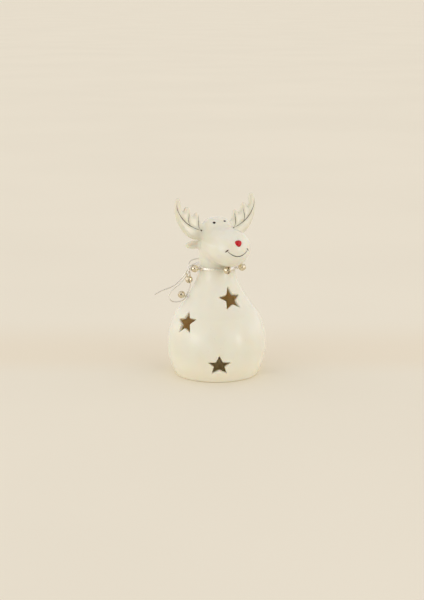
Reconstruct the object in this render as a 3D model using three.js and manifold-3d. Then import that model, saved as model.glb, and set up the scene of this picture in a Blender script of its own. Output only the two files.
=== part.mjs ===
// Ceramic reindeer light: a hollow glazed body with star cut-outs, a wire collar with
// jingle bells, and a battery LED module that stands in the hole of its base.
// Millimetres, +Z up. The reindeer faces -Y and its right side is -X.
import * as THREE from 'three';
import { mergeVertices } from 'three/addons/utils/BufferGeometryUtils.js';
import Module from 'manifold-3d';

const wasm = await Module();
wasm.setup();

// ---------------------------------------------------------------- driving dimensions
const WALL = 3;
const GAP = 0.3;
const BODY_SEGMENTS = 36;

// Outer profile of body and neck, as [radius, height].
const BODY_PROFILE = [
  [34.4, 0.8], [38.3, 9.5], [40.5, 19.8], [40.5, 30.2], [38.8, 40.3], [34.4, 50.7],
  [26.6, 61.3], [19.8, 72.8], [16.3, 81.5], [15.3, 88],
];
const FOOT_OUTER = 33.6;
const FOOT_INNER = 27.5;
const FOOT_RECESS = 2.5;
const FLOOR_TOP = FOOT_RECESS + WALL;
const BASE_HOLE_R = 20;
// The neck goes on up inside the head to here, as [radius, height].
const NECK = [[14.1, 96], [11.5, 112]];
const NECK_TOP = NECK[1][1];

// The head is four lobes: nape, skull, cheeks and muzzle. HEAD_CENTRE is the middle of the rays
// that find its skin, power makes a lobe squarer than an ellipsoid (2), and fillet rounds its
// join with the lobes before it.
const HEAD_CENTRE = [0, -8, 110];
const LOBES = [
  { centre: [0, 0, 100], semi: [13.3, 13.3, 21], power: 2.6 },
  { centre: [0, 0.3, 114.6], semi: [13.4, 10.4, 16.1], power: 2.7, fillet: 6 },
  { centre: [0, -11.5, 109.5], semi: [13, 13, 10.5], power: 2, fillet: 6 },
  { centre: [0, -24.1, 108.7], semi: [15.6, 15.6, 14.9], power: 2, fillet: 12 },
];
const MUZZLE = LOBES[3];
const HEAD_DETAIL = [30, 20];
const HOLLOW_DETAIL = [18, 12];

// Stars: bearing about +Z from the face (towards +X), height of the centre, turn to the left,
// and how tall the star is for its width. They are cut by hand, so no two are quite alike.
const STAR_R = 10;
const STAR_INNER = 0.46;
const STARS = [
  [-25, 15, 0, 0.86], [61, 15.4, 0, 0.95], [2, 66.8, 1, 1], [-73, 48.3, 8, 1],
  [-133, 17, -4, 0.95], [144, 18, 3, 0.9], [104, 47, -6, 1], [-172, 60, 5, 1],
];

const ANTLER_THICKNESS = 4.6;
const ANTLER_ROUNDING = 1.1;
const ANTLER_PIVOT = [14, 0.4, 119];
const ANTLER_LEAN = 6.5;
const EAR = { centre: [19.2, 3.2, 108.9], semi: [8.2, 2.4, 3.4] };
// The painted-on nose sits a little to the right of the middle: turn and rise are in degrees.
const NOSE = { turn: -3.3, rise: 24, semi: [3, 1.8, 2.8] };

// Collar and bow: wire sizes, the ring about the neck, and the bow's own plane.
const COLLAR_WIRE = 1.7;
const BOW_WIRE = 1.0;
const COLLAR_R = 17.2;
const COLLAR_Z = 90.2;
// Both ends of the collar lead out to the knot, as [bearing, radius].
const COLLAR_START = [[-101.5, 21], [-97, 18.6]];
const COLLAR_END = [[247, 18.6], [251.5, 21]];
const COLLAR_STEP = 14;
const BOW_BEARING = -118;
const KNOT = { out: 22.8, front: 4.4, z: 88.8, semi: [1.6, 1.7, 2.1] };

const BELL_R = 3.1;
const BELL_WALL = 0.45;
const EYELET_R = 1.35;
const EYELET_WIRE = 0.25;
const EYELET_Z = BELL_R + EYELET_R + EYELET_WIRE - 0.2;
const PELLET_R = 0.8;
const SLIT = 0.8;

// LED module, standing in the base hole.
const CASE_R = 18.6;
const CASE_WALL = 1.4;
const CASE_BOTTOM = 0.7;
const CASE_TOP = 16;
const FLANGE_R = 24.5;
const PLATE = 1.4;
const DOOR_HOLE_R = 11.5;
const DOOR_R = 11.1;
const DOOR_HINGE_Y = -11.1;
const CELL_R = 10;
const CELL_T = 3.2;
const CELL_Z = 2.6;
const BOARD_R = 11.7;
const BOARD_Z = 11;
const BOARD_T = 1.6;
const BOSS_R = 2.2;
const BOSS_RING = 14.6;
const BOSS_BEARINGS = [30, 150, 270];
const COVER_Z = CASE_TOP + GAP;
const COVER_T = 1.6;
const BOSS_BORE = 1.1;
const COVER_BORE = 1.2;
const LIGHT_HOLE_R = 3.4;
const SCREW = { shankR: 0.8, length: 6.9, headR: 1.7, headHeight: 1, crossLong: 2.2, crossWide: 0.5 };
const DOME_R = 9;
const DOME_H = 16;
const DOME_WALL = 1.2;
const DOME_SKIRT = 3;
const LED = { r: 2.5, flangeR: 2.9, lead: 0.5, leadLength: 2.3, halfPitch: 1.27 };
const CONTACT_T = 0.4;
const CONTACT_W = 4;
const HINGE_SLOT = [7, 3];
const SWITCH_Y = 14.2;
const SWITCH_HOLE = [5.4, 2.4];
const SWITCH_BODY = [8, 3.6, 4];
const SWITCH_SLOT = [4.6, 1.9, 2.4];
const KNOB = [2, 1.3, 3.6];

// ---------------------------------------------------------------- helpers
const v3 = (x, y, z) => new THREE.Vector3(x, y, z);
const rad = (degrees) => (degrees * Math.PI) / 180;

// Unit vector at a bearing: 0 is the face (-Y), 90 is the left side (+X).
const bearing = (degrees) => v3(Math.sin(rad(degrees)), -Math.cos(rad(degrees)), 0);

// A closed three.js geometry as a manifold solid.
function solid(geometry) {
  const plain = geometry.index ? geometry.toNonIndexed() : geometry.clone();
  plain.deleteAttribute('normal');
  plain.deleteAttribute('uv');
  const merged = mergeVertices(plain, 1e-4);
  return new wasm.Manifold(new wasm.Mesh({
    numProp: 3,
    vertProperties: merged.attributes.position.array,
    triVerts: new Uint32Array(merged.index.array),
  }));
}

function geometryOf(manifold) {
  const mesh = manifold.getMesh();
  const geometry = new THREE.BufferGeometry();
  geometry.setAttribute('position', new THREE.BufferAttribute(new Float32Array(mesh.vertProperties), 3));
  geometry.setIndex(new THREE.BufferAttribute(new Uint32Array(mesh.triVerts), 1));
  geometry.computeVertexNormals();
  return geometry;
}

// Closed [radius, z] outline turned about +Z.
function lathe(outline, segments) {
  const points = outline.map(([r, z]) => new THREE.Vector2(r, z));
  const geometry = new THREE.LatheGeometry(points, segments);
  geometry.rotateX(Math.PI / 2);
  return geometry;
}

const disc = (r, bottom, top, segments = 40) =>
  lathe([[0, bottom], [r, bottom], [r, top], [0, top]], segments);

const ring = (inner, outer, bottom, top, segments = 40) =>
  lathe([[inner, bottom], [outer, bottom], [outer, top], [inner, top], [inner, bottom]], segments);

function box(sx, sy, sz, x, y, z) {
  const geometry = new THREE.BoxGeometry(sx, sy, sz);
  geometry.translate(x, y, z);
  return geometry;
}

function cylinder(r, height, x, y, bottom, segments = 12) {
  const geometry = new THREE.CylinderGeometry(r, r, height, segments);
  geometry.rotateX(Math.PI / 2);
  geometry.translate(x, y, bottom + height / 2);
  return geometry;
}

// Round wire along an open path.
function wire(points, diameter, steps, sides = 8) {
  const section = new THREE.Shape();
  for (let i = 0; i < sides; i++) {
    const a = (2 * Math.PI * i) / sides;
    const [x, y] = [(diameter / 2) * Math.cos(a), (diameter / 2) * Math.sin(a)];
    if (i === 0) section.moveTo(x, y);
    else section.lineTo(x, y);
  }
  section.closePath();
  const path = new THREE.CatmullRomCurve3(points, false, 'centripetal');
  return new THREE.ExtrudeGeometry(section, {
    steps, curveSegments: 1, bevelEnabled: false, extrudePath: path,
  });
}

const root = new THREE.Group();

function add(name, geometry, [color, roughness, metalness]) {
  const material = new THREE.MeshStandardMaterial({ color, roughness, metalness });
  const mesh = new THREE.Mesh(geometry, material);
  mesh.name = name;
  root.add(mesh);
  return mesh;
}

const GLAZE = [0xe9e1cf, 0.22, 0];
const RED_GLAZE = [0xa5161a, 0.15, 0];
const SILVER = [0xc9c9cc, 0.2, 1];
const WHITE_PLASTIC = [0xe8e6df, 0.5, 0];
const SILICONE = [0xd9d9d4, 0.7, 0];
const FROSTED = [0xf7ecd2, 0.6, 0];
const BOARD_GREEN = [0x1e5b33, 0.5, 0];
const STEEL = [0xb8b8b4, 0.3, 1];
const BLACK_PLASTIC = [0x202020, 0.5, 0];

// ---------------------------------------------------------------- ceramic body
function bodyCurve() {
  const knots = BODY_PROFILE.map(([r, z]) => new THREE.Vector2(r, z));
  return new THREE.SplineCurve(knots).getPoints(13).map((p) => [p.x, p.y]);
}

// The profile moved inwards by a distance along its own normal.
function inwards(profile, distance) {
  return profile.map(([r, z], i) => {
    const [r0, z0] = profile[Math.max(i - 1, 0)];
    const [r1, z1] = profile[Math.min(i + 1, profile.length - 1)];
    const length = Math.hypot(r1 - r0, z1 - z0);
    return [r - (distance * (z1 - z0)) / length, z + (distance * (r1 - r0)) / length];
  });
}

// Point and outward normal of the body's skin at a height.
function bodySkin(height) {
  const curve = bodyCurve();
  const i = curve.findIndex(([, z]) => z >= height);
  const [r0, z0] = curve[i - 1];
  const [r1, z1] = curve[i];
  const length = Math.hypot(r1 - r0, z1 - z0);
  const r = r0 + ((r1 - r0) * (height - z0)) / (z1 - z0);
  return { r, normalOut: (z1 - z0) / length, normalUp: -(r1 - r0) / length };
}

// Roughly the distance in mm from a point to a lobe's skin, negative inside.
function lobeDistance({ centre, semi, power }, [x, y, z]) {
  const sum = [x, y, z].reduce((t, value, k) => t + Math.abs((value - centre[k]) / semi[k]) ** power, 0);
  return (sum ** (1 / power) - 1) * Math.min(...semi);
}

// Smooth union of the lobes: each one's fillet rounds the crease around it.
function headDistance(point) {
  return LOBES.slice(1).reduce((a, lobe) => {
    const b = lobeDistance(lobe, point);
    const h = Math.max(lobe.fillet - Math.abs(a - b), 0) / lobe.fillet;
    return Math.min(a, b) - (h * h * lobe.fillet) / 4;
  }, lobeDistance(LOBES[0], point));
}

// Where a ray from HEAD_CENTRE leaves the head. shrink > 0 moves the skin inwards.
function headPoint(direction, shrink = 0) {
  let [near, far] = [0, 60];
  for (let i = 0; i < 30; i++) {
    const middle = (near + far) / 2;
    const point = v3(...HEAD_CENTRE).addScaledVector(direction, middle);
    if (headDistance(point.toArray()) < -shrink) near = middle;
    else far = middle;
  }
  return v3(...HEAD_CENTRE).addScaledVector(direction, near);
}

function headGeometry(shrink, across, down) {
  const geometry = new THREE.SphereGeometry(1, across, down);
  const position = geometry.attributes.position;
  for (let i = 0; i < position.count; i++) {
    const direction = v3(position.getX(i), -position.getZ(i), position.getY(i)).normalize();
    const point = headPoint(direction, shrink);
    position.setXYZ(i, point.x, point.y, point.z);
  }
  return geometry;
}

function starPrism([turn, height, tilt, tall]) {
  const shape = new THREE.Shape();
  for (let i = 0; i < 10; i++) {
    const r = i % 2 === 0 ? STAR_R : STAR_R * STAR_INNER;
    const a = Math.PI / 2 + (i * Math.PI) / 5;
    if (i === 0) shape.moveTo(r * Math.cos(a), tall * r * Math.sin(a));
    else shape.lineTo(r * Math.cos(a), tall * r * Math.sin(a));
  }
  shape.closePath();
  const depth = 4 * WALL;
  const geometry = new THREE.ExtrudeGeometry(shape, { depth, bevelEnabled: false });
  geometry.translate(0, 0, -depth / 2);
  geometry.rotateZ(rad(tilt));
  const skin = bodySkin(height);
  const out = bearing(turn);
  const normal = out.clone().multiplyScalar(skin.normalOut).add(v3(0, 0, skin.normalUp));
  const side = v3(0, 0, 1).cross(out).normalize();
  const up = normal.clone().cross(side);
  const frame = new THREE.Matrix4().makeBasis(side, up, normal);
  const centre = out.clone().multiplyScalar(skin.r).add(v3(0, 0, height));
  return geometry.applyMatrix4(frame.setPosition(centre));
}

function ceramicBody() {
  const curve = bodyCurve();
  const outer = solid(lathe(
    [[0, 0], [FOOT_OUTER, 0], ...curve, ...NECK, [0, NECK_TOP]], BODY_SEGMENTS,
  )).add(solid(headGeometry(0, ...HEAD_DETAIL)));
  const hollow = inwards(curve, WALL).filter(([, z]) => z > FLOOR_TOP + 1);
  const neckHollow = NECK.map(([r, z]) => [r - WALL, z]);
  const cavity = solid(lathe(
    [[0, FLOOR_TOP], [hollow[0][0] - WALL / 2, FLOOR_TOP], ...hollow, ...neckHollow, [0, NECK_TOP]],
    BODY_SEGMENTS,
  )).add(solid(headGeometry(WALL, ...HOLLOW_DETAIL)));
  let body = outer.subtract(cavity);
  body = body.subtract(solid(disc(FOOT_INNER, -1, FOOT_RECESS, BODY_SEGMENTS)));
  body = body.subtract(solid(disc(BASE_HOLE_R, -1, FLOOR_TOP + 1, BODY_SEGMENTS)));
  for (const star of STARS) body = body.subtract(solid(starPrism(star)));
  return geometryOf(body);
}

// ---------------------------------------------------------------- head pieces
const headClearance = () => solid(headGeometry(-GAP, ...HEAD_DETAIL));

// Antler outline in its own plane, as [across, up] from the body's axis.
function antlerShape() {
  const shape = new THREE.Shape();
  shape.moveTo(10, 113);
  shape.lineTo(16, 113);
  shape.quadraticCurveTo(23, 113.2, 27.6, 117.4);
  shape.quadraticCurveTo(33.2, 122.6, 35.8, 130.4);
  shape.quadraticCurveTo(37.8, 137, 37.2, 142.4);
  shape.quadraticCurveTo(36.4, 148.3, 33.9, 148.3);
  shape.quadraticCurveTo(31.4, 147.9, 31.4, 143.2);
  shape.quadraticCurveTo(31.4, 138.6, 30.2, 137.2);
  shape.quadraticCurveTo(29.2, 137, 28.8, 138.6);
  shape.quadraticCurveTo(27.8, 141, 25.8, 140.6);
  shape.quadraticCurveTo(23.6, 140, 23.4, 137);
  shape.quadraticCurveTo(22.8, 134, 21.4, 133);
  shape.quadraticCurveTo(20.4, 133, 20, 134);
  shape.quadraticCurveTo(18.7, 136, 17, 135.2);
  shape.quadraticCurveTo(15.2, 134, 15.3, 130.2);
  shape.quadraticCurveTo(15.1, 126.6, 10, 124.6);
  shape.closePath();
  return shape;
}

// side is 1 for the left antler (+X) and -1 for the right one.
function antler(side) {
  const bevel = ANTLER_ROUNDING;
  const geometry = new THREE.ExtrudeGeometry(antlerShape(), {
    depth: ANTLER_THICKNESS - 2 * bevel, curveSegments: 3,
    bevelEnabled: true, bevelThickness: bevel, bevelSize: bevel, bevelOffset: -bevel, bevelSegments: 2,
  });
  geometry.translate(-ANTLER_PIVOT[0], -ANTLER_PIVOT[2], bevel - ANTLER_THICKNESS / 2);
  geometry.rotateX(Math.PI / 2);
  geometry.rotateX(-rad(ANTLER_LEAN));
  geometry.translate(...ANTLER_PIVOT);
  let antlerSolid = solid(geometry).subtract(headClearance());
  if (side < 0) antlerSolid = antlerSolid.mirror([1, 0, 0]);
  return geometryOf(antlerSolid);
}

function ellipsoid([x, y, z], [a, b, c], across = 14, down = 9) {
  const geometry = new THREE.SphereGeometry(1, across, down);
  geometry.scale(a, b, c);
  geometry.translate(x, y, z);
  return geometry;
}

function ear(side) {
  const { centre: [x, y, z], semi: [a, b, c] } = EAR;
  const leaf = solid(ellipsoid([side * x, y, z], [a, b, c]));
  const dish = solid(ellipsoid([side * (x + 0.8), y - b, z], [a * 0.72, b * 0.8, c * 0.62]));
  return geometryOf(leaf.subtract(dish).subtract(headClearance()));
}

function nose() {
  const rise = rad(NOSE.rise);
  const direction = bearing(NOSE.turn).multiplyScalar(Math.cos(rise)).setZ(Math.sin(rise));
  const fromMuzzle = v3(...MUZZLE.centre).addScaledVector(direction, MUZZLE.semi[1] + GAP);
  const geometry = ellipsoid([0, 0, 0], NOSE.semi, 16, 10);
  geometry.rotateX(-rise * 0.6);
  geometry.translate(fromMuzzle.x, fromMuzzle.y, fromMuzzle.z);
  return geometryOf(solid(geometry).subtract(headClearance()));
}

// ---------------------------------------------------------------- collar, knot and bow
// A place beside the body: out from the axis at the bow's bearing, front of the bow's plane.
function bowPoint([out, front, z]) {
  const point = bearing(BOW_BEARING).multiplyScalar(out);
  point.addScaledVector(bearing(BOW_BEARING + 90), front);
  return point.setZ(z);
}

const ringPoint = (turn, r, z = COLLAR_Z) => bearing(turn).multiplyScalar(r).setZ(z);

// Once round the neck, with both ends led out to the knot.
function collarPath() {
  const points = COLLAR_START.map(([turn, r]) => ringPoint(turn, r));
  for (let turn = -86; turn <= 236; turn += COLLAR_STEP) points.push(ringPoint(turn, COLLAR_R));
  return points.concat(COLLAR_END.map(([turn, r]) => ringPoint(turn, r)));
}

const LOWER_LOOP = [
  [23.4, 5.0, 85.7], [25.4, 5.0, 82.3], [28.1, 5.0, 78.7], [31.0, 5.0, 75.5], [34.6, 5.0, 72.4],
  [37.7, 5.0, 69.2], [39.1, 5.0, 66.3], [38.7, 5.0, 63.6], [36.8, 5.0, 61.5], [33.8, 5.0, 60.8],
  [30.3, 5.0, 61.3], [27.2, 5.0, 63.0], [25.2, 4.9, 65.6], [23.7, 4.2, 69.0], [22.3, 2.8, 73.0],
  [21.8, 1.4, 76.8], [21.8, 0.8, 80.4], [22.0, 1.6, 83.6], [22.3, 2.9, 85.6],
];
const UPPER_LOOP = [
  [22.9, 4.4, 91.9], [22.6, 3.2, 93.2], [21.3, 0.6, 94.3], [18.3, -4.4, 94.8], [14.3, -10.9, 94.3],
  [9.6, -17.0, 94.2], [5.8, -20.3, 94.3], [3.6, -21.7, 93.9], [2.7, -22.2, 92.7], [3.7, -21.9, 91.4],
  [6.6, -20.6, 90.9], [11.0, -17.4, 90.8], [15.6, -12.0, 90.5], [19.0, -5.8, 90.3],
  [21.2, -0.6, 90.1], [22.0, 1.9, 89.9],
];
const TAIL = [
  [24.6, 3.3, 86.5], [26.4, 2.6, 83.3], [29.1, 2.6, 79.8], [32.2, 3.2, 76.5], [35.0, 4.0, 74.4],
  [39.0, 4.6, 72.5], [42.8, 5.0, 71.2], [47.0, 5.2, 69.4], [51.2, 5.2, 67.0],
];

function knot() {
  const centre = bowPoint([KNOT.out, KNOT.front, KNOT.z]);
  return ellipsoid(centre.toArray(), KNOT.semi, 14, 10);
}

// ---------------------------------------------------------------- bells
// The bell hangs below its eyelet: centre at 0, eyelet up +Z, the wire through it along X.
function bellShell() {
  let shell = solid(new THREE.SphereGeometry(BELL_R, 12, 7));
  const eyelet = new THREE.TorusGeometry(EYELET_R, EYELET_WIRE, 5, 12);
  eyelet.rotateY(Math.PI / 2);
  eyelet.translate(0, 0, EYELET_Z);
  shell = shell.add(solid(eyelet));
  shell = shell.subtract(solid(new THREE.SphereGeometry(BELL_R - BELL_WALL, 8, 5)));
  const slit = new THREE.BoxGeometry(SLIT, 2 * BELL_R + 1, BELL_R);
  slit.translate(0, 0, -BELL_R / 2 - 0.5);
  return shell.subtract(solid(slit));
}

// Where each bell's eyelet holds the wire, which way the wire runs, and which way the bell hangs.
const onCollar = (turn) => ({
  at: ringPoint(turn, COLLAR_R), along: bearing(turn + 90), hang: bearing(turn),
});
function onBow(place, nextPlace, bellPlace) {
  const at = bowPoint(place);
  return {
    at,
    along: bowPoint(nextPlace).sub(at).normalize(),
    hang: bowPoint(bellPlace).sub(at).normalize(),
  };
}
const BELLS = {
  front: onCollar(-4.3),
  left: onCollar(46),
  right: onCollar(-84),
  bow_top: onBow([24.5, 5.0, 83.8], [28.1, 5.0, 78.7], [22.6, 6.6, 79.7]),
  bow_low: onBow([25.2, 4.9, 65.6], [23.7, 4.2, 69.0], [29.3, 6.8, 67.6]),
};

function bellFrame({ at, along, hang }) {
  const up = hang.clone().negate();
  const x = along.clone().addScaledVector(up, -along.dot(up)).normalize();
  const y = up.clone().cross(x);
  const centre = at.clone().addScaledVector(hang, EYELET_Z);
  return new THREE.Matrix4().makeBasis(x, y, up).setPosition(centre);
}

function bells() {
  const shell = geometryOf(bellShell());
  const pellet = new THREE.SphereGeometry(PELLET_R, 8, 6);
  for (const [place, bell] of Object.entries(BELLS)) {
    const frame = bellFrame(bell);
    add(`bell_${place}`, shell.clone().applyMatrix4(frame), SILVER);
    add(`bell_pellet_${place}`, pellet.clone().applyMatrix4(frame), STEEL);
  }
}

// ---------------------------------------------------------------- LED module
const bossPlace = (degrees, ringR = BOSS_RING) =>
  [ringR * Math.cos(rad(degrees)), ringR * Math.sin(rad(degrees))];

function moduleCase() {
  let shell = solid(lathe([
    [0, CASE_BOTTOM], [FLANGE_R, CASE_BOTTOM], [FLANGE_R, CASE_BOTTOM + PLATE],
    [CASE_R, CASE_BOTTOM + PLATE], [CASE_R, CASE_TOP], [CASE_R - CASE_WALL, CASE_TOP],
    [CASE_R - CASE_WALL, CASE_BOTTOM + PLATE], [0, CASE_BOTTOM + PLATE],
  ], 32));
  for (const degrees of BOSS_BEARINGS) {
    const [x, y] = bossPlace(degrees);
    shell = shell.add(solid(cylinder(BOSS_R, CASE_TOP - 1, x, y, 1, 14)));
    shell = shell.subtract(solid(cylinder(BOSS_BORE, 9, x, y, CASE_TOP - 7, 10)));
  }
  shell = shell.subtract(solid(disc(DOOR_HOLE_R, 0, 4, 36)));
  shell = shell.subtract(solid(box(...HINGE_SLOT, 4, 0, DOOR_HINGE_Y - 0.4, 1.4)));
  return geometryOf(shell.subtract(solid(box(...SWITCH_HOLE, 4, 0, SWITCH_Y, 1.4))));
}

// Round lid with a hinge barrel on the face side and a finger notch opposite.
function batteryDoor() {
  let door = solid(disc(DOOR_R, CASE_BOTTOM + 0.1, CASE_BOTTOM + PLATE - 0.1, 36));
  door = door.add(solid(box(6, 1.6, 1.2, 0, DOOR_HINGE_Y + 0.4, CASE_BOTTOM + 0.7)));
  return geometryOf(door.subtract(solid(box(5, 1.4, 2, 0, DOOR_R - 0.3, CASE_BOTTOM))));
}

function moduleCover() {
  let cover = solid(disc(CASE_R, COVER_Z, COVER_Z + COVER_T, 32));
  for (const degrees of BOSS_BEARINGS) {
    const [x, y] = bossPlace(degrees);
    cover = cover.subtract(solid(cylinder(COVER_BORE, 4, x, y, CASE_TOP - 1, 12)));
  }
  return geometryOf(cover.subtract(solid(disc(LIGHT_HOLE_R, CASE_TOP - 1, COVER_Z + 3, 20))));
}

function coverScrew(degrees) {
  const [x, y] = bossPlace(degrees);
  const top = COVER_Z + COVER_T + GAP;
  const { shankR, length, headR, headHeight, crossLong, crossWide } = SCREW;
  const shank = solid(cylinder(shankR, length + 0.1, x, y, top - length, 10));
  const head = solid(cylinder(headR, headHeight, x, y, top, 14));
  const recess = top + headHeight + 0.1;
  const cross = solid(box(crossLong, crossWide, 1, x, y, recess))
    .add(solid(box(crossWide, crossLong, 1, x, y, recess)));
  return geometryOf(shank.add(head).subtract(cross));
}

// Frosted dome that spreads the light; open below over the LED.
function lightDome() {
  const base = COVER_Z + COVER_T + GAP;
  const quarter = [0, 18, 36, 54, 72, 90];
  const arc = (wall) => quarter.map((degrees) => [
    degrees === 90 ? 0 : (DOME_R - wall) * Math.cos(rad(degrees)),
    base + DOME_SKIRT + (DOME_H - DOME_SKIRT - wall) * Math.sin(rad(degrees)),
  ]);
  const [outer, inner] = [[DOME_R, base], [DOME_R - DOME_WALL, base]];
  return lathe([inner, outer, ...arc(0), ...arc(DOME_WALL).reverse(), inner], 20);
}

function ledBulb() {
  const bottom = BOARD_Z + BOARD_T + 2.4;
  const { r, flangeR, lead, leadLength, halfPitch } = LED;
  let bulb = solid(lathe([
    [0, bottom], [flangeR, bottom], [flangeR, bottom + 1], [r, bottom + 1], [r, bottom + 6],
    [0.84 * r, bottom + 7.3], [0.48 * r, bottom + 8.2], [0, bottom + 8.5],
  ], 20));
  for (const x of [-halfPitch, halfPitch]) {
    bulb = bulb.add(solid(box(lead, lead, leadLength, x, 0, bottom - 0.95)));
  }
  return geometryOf(bulb);
}

function circuitBoard() {
  return disc(BOARD_R, BOARD_Z, BOARD_Z + BOARD_T, 32);
}

// Bent strip of constant width: outline points in [x, z], extruded along Y.
function strip(outline) {
  const shape = new THREE.Shape(outline.map(([x, z]) => new THREE.Vector2(x, z)));
  const geometry = new THREE.ExtrudeGeometry(shape, { depth: CONTACT_W, bevelEnabled: false });
  geometry.rotateX(Math.PI / 2);
  geometry.translate(0, CONTACT_W / 2, 0);
  return geometry;
}

function positiveContact() {
  const x = CELL_R + GAP;
  const high = BOARD_Z - GAP;
  const low = CELL_Z + GAP;
  return strip([
    [x, low], [x + CONTACT_T, low], [x + CONTACT_T, high], [x - 1.6, high],
    [x - 1.6, high - CONTACT_T], [x, high - CONTACT_T],
  ]);
}

function negativeContact() {
  const low = CELL_Z + CELL_T + GAP;
  const high = BOARD_Z - GAP;
  return strip([
    [-5, low], [1.5, low], [4.5, low + 1.4], [4.3, low + 1.8], [1.4, low + CONTACT_T],
    [-4.6, low + CONTACT_T], [-4.6, high - CONTACT_T], [-3, high - CONTACT_T], [-3, high], [-5, high],
  ]);
}

function slideSwitch() {
  const base = CASE_BOTTOM + PLATE + GAP;
  const body = box(...SWITCH_BODY, 0, SWITCH_Y, base + SWITCH_BODY[2] / 2);
  const slot = box(...SWITCH_SLOT, 0, SWITCH_Y, base + 0.8);
  return geometryOf(solid(body).subtract(solid(slot)));
}

function switchKnob() {
  const bottom = CASE_BOTTOM - 0.4;
  return box(...KNOB, -1, SWITCH_Y, bottom + KNOB[2] / 2);
}

function ledModule() {
  add('module_case', moduleCase(), WHITE_PLASTIC);
  add('module_cover', moduleCover(), WHITE_PLASTIC);
  add('gasket_ring', ring(CASE_R + GAP, BASE_HOLE_R - GAP, 2.8, 5.2, 32), SILICONE);
  add('battery_door', batteryDoor(), WHITE_PLASTIC);
  add('coin_cell', disc(CELL_R, CELL_Z, CELL_Z + CELL_T, 32), STEEL);
  add('battery_contact_positive', positiveContact(), STEEL);
  add('battery_contact_negative', negativeContact(), STEEL);
  add('circuit_board', circuitBoard(), BOARD_GREEN);
  add('resistor', box(3.2, 1.6, 0.6, 6, 3, BOARD_Z + BOARD_T + GAP + 0.3), BLACK_PLASTIC);
  add('led_bulb', ledBulb(), FROSTED);
  add('light_dome', lightDome(), FROSTED);
  add('slide_switch', slideSwitch(), BLACK_PLASTIC);
  add('switch_knob', switchKnob(), BLACK_PLASTIC);
  BOSS_BEARINGS.forEach((degrees, i) => add(`cover_screw_${i + 1}`, coverScrew(degrees), STEEL));
}

// ---------------------------------------------------------------- assembly
add('ceramic_body', ceramicBody(), GLAZE);
add('antler_left', antler(1), GLAZE);
add('antler_right', antler(-1), GLAZE);
add('ear_left', ear(1), GLAZE);
add('ear_right', ear(-1), GLAZE);
add('nose', nose(), RED_GLAZE);
add('collar_wire', wire(collarPath(), COLLAR_WIRE, 40), SILVER);
add('bow_knot', knot(), SILVER);
add('bow_loop_lower', wire(LOWER_LOOP.map(bowPoint), BOW_WIRE, 28), SILVER);
add('bow_loop_upper', wire(UPPER_LOOP.map(bowPoint), BOW_WIRE, 28), SILVER);
add('bow_tail', wire(TAIL.map(bowPoint), BOW_WIRE, 14), SILVER);
bells();
ledModule();

export default root;
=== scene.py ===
"""Looks of a small glazed ceramic reindeer light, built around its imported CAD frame.

Shapes are worked out in millimetres in the part's own frame: +Z up, the reindeer faces -Y.
"""
import math

import bpy
import numpy as np
from mathutils import Matrix, Vector


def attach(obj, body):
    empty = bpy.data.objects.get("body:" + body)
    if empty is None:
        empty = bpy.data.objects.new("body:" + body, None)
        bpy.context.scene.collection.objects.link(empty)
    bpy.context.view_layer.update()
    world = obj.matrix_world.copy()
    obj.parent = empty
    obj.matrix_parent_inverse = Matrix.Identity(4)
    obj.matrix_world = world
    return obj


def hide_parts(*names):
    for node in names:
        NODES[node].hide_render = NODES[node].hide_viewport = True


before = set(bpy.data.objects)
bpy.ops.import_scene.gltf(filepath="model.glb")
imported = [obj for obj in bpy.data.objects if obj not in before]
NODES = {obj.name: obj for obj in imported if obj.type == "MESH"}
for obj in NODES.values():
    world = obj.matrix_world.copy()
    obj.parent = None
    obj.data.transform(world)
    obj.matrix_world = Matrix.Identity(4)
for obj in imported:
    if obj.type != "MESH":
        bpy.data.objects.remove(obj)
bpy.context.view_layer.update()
MM = 0.001

# ---------------------------------------------------------------- camera
VIEW_AZIMUTH, VIEW_ELEVATION = -28.0, 12.5  # degrees; azimuth 0 looks along +Y
VIEW_DISTANCE = 1.2  # metres
AIM_RIGHT, AIM_UP = -0.00385, 0.0598  # metres beside and above the origin
LENS_MM, SENSOR_MM = 86.12, 36.0


def unit(vectors):
    """Vectors along the last axis, scaled to length 1."""
    return vectors / np.linalg.norm(vectors, axis=-1, keepdims=True)


def direction(azimuth, elevation):
    """Unit vector from the object towards a viewer or light at these angles, in degrees."""
    a, e = math.radians(azimuth), math.radians(elevation)
    return Vector((math.sin(a) * math.cos(e), -math.cos(a) * math.cos(e), math.sin(e)))


def make_camera():
    toward = direction(VIEW_AZIMUTH, VIEW_ELEVATION)
    right = Vector((math.cos(math.radians(VIEW_AZIMUTH)), math.sin(math.radians(VIEW_AZIMUTH)), 0))
    up = toward.cross(right)
    data = bpy.data.cameras.new("camera")
    data.lens = LENS_MM
    data.sensor_width = SENSOR_MM
    camera = bpy.data.objects.new("camera", data)
    place = right * AIM_RIGHT + up * AIM_UP + toward * VIEW_DISTANCE
    camera.matrix_world = Matrix.Translation(place) @ Matrix((right, up, toward)).transposed().to_4x4()
    bpy.context.scene.collection.objects.link(camera)
    bpy.context.scene.camera = camera


make_camera()


# ---------------------------------------------------------------- colours and node helpers
def srgb(red, green, blue):
    """Linear RGBA of a colour given as 0-255 screen values."""
    shares = [c / 255 for c in (red, green, blue)]
    return (*[c / 12.92 if c <= 0.04 else ((c + 0.055) / 1.055) ** 2.4 for c in shares], 1.0)


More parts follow.
